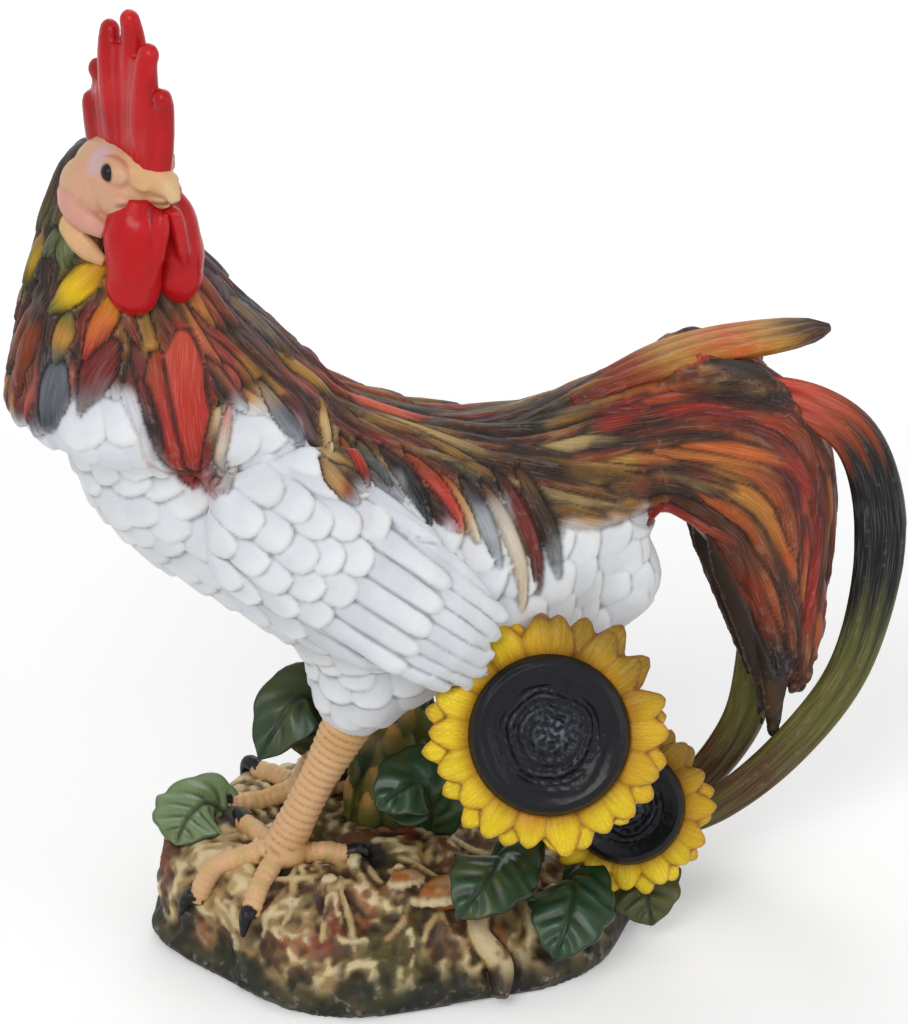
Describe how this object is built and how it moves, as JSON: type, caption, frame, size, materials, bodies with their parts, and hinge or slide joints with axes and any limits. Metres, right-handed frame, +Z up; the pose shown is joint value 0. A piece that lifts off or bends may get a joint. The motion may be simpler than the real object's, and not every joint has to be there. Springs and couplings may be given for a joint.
{
  "type": "cockerel garden statue",
  "caption": "Painted cast cockerel standing on a rock mound, head turned to its left, with an arched tail and sickle feathers, sunflowers and leaves; a garden ornament.",
  "frame": {"origin": "middle of the base's flat underside", "axes": "+Z up, -X the way the bird's body faces, -Y the bird's left side with the flowers"},
  "size_m": [0.466, 0.227, 0.5153],
  "materials": {
    "rock_paint": "brush-painted ochre, cream and dark brown, satin varnish",
    "white_plumage": "white paint with grey wash in the grooves, satin varnish",
    "hackle_paint": "airbrushed maroon, red, ochre and black, satin varnish",
    "face_paint": "flesh-coloured paint, satin varnish",
    "comb_red": "red paint, gloss varnish",
    "tail_paint": "airbrushed red, orange, ochre and black, satin varnish",
    "sickle_paint": "airbrushed black and olive, satin varnish",
    "leg_paint": "tan paint, satin varnish",
    "petal_yellow": "yellow paint with ochre shading, satin varnish",
    "disc_black": "blue-black paint, gloss varnish",
    "stem_green": "olive-green paint, satin varnish",
    "leaf_green": "dark-green paint with blue-green highlights, satin varnish",
    "rod_steel": "plain drawn bar",
    "dowel_wood": "plain"
  },
  "bodies": {
    "root": {"base_rock": "rock_paint", "torso": "white_plumage", "left_wing": "white_plumage", "right_wing": "white_plumage", "neck_cape": "hackle_paint", "head": "face_paint", "comb": "comb_red", "left_wattle": "comb_red", "right_wattle": "comb_red", "tail_core": "tail_paint", "tail_top_feather": "tail_paint", "left_tail_feather_1": "tail_paint", "left_tail_feather_2": "tail_paint", "left_tail_feather_3": "tail_paint", "right_tail_feather_1": "tail_paint", "right_tail_feather_2": "tail_paint", "right_tail_feather_3": "tail_paint", "left_sickle": "sickle_paint", "right_sickle": "sickle_paint", "left_leg": "leg_paint", "right_leg": "leg_paint", "large_flower_petals": "petal_yellow", "small_flower_petals": "petal_yellow", "large_flower_disc": "disc_black", "small_flower_disc": "disc_black", "large_flower_stem": "stem_green", "small_flower_stem": "stem_green", "support_stump": "stem_green", "leaf_behind_leg": "leaf_green", "leaf_under_belly": "leaf_green", "leaf_below_flower": "leaf_green", "leaf_front": "leaf_green", "leaf_right": "leaf_green", "leaf_left": "leaf_green", "left_leg_rod": "rod_steel", "right_leg_rod": "rod_steel", "neck_rod": "rod_steel", "tail_rod": "rod_steel", "left_wing_dowel": "dowel_wood", "right_wing_dowel": "dowel_wood"}
  },
  "joints": []
}
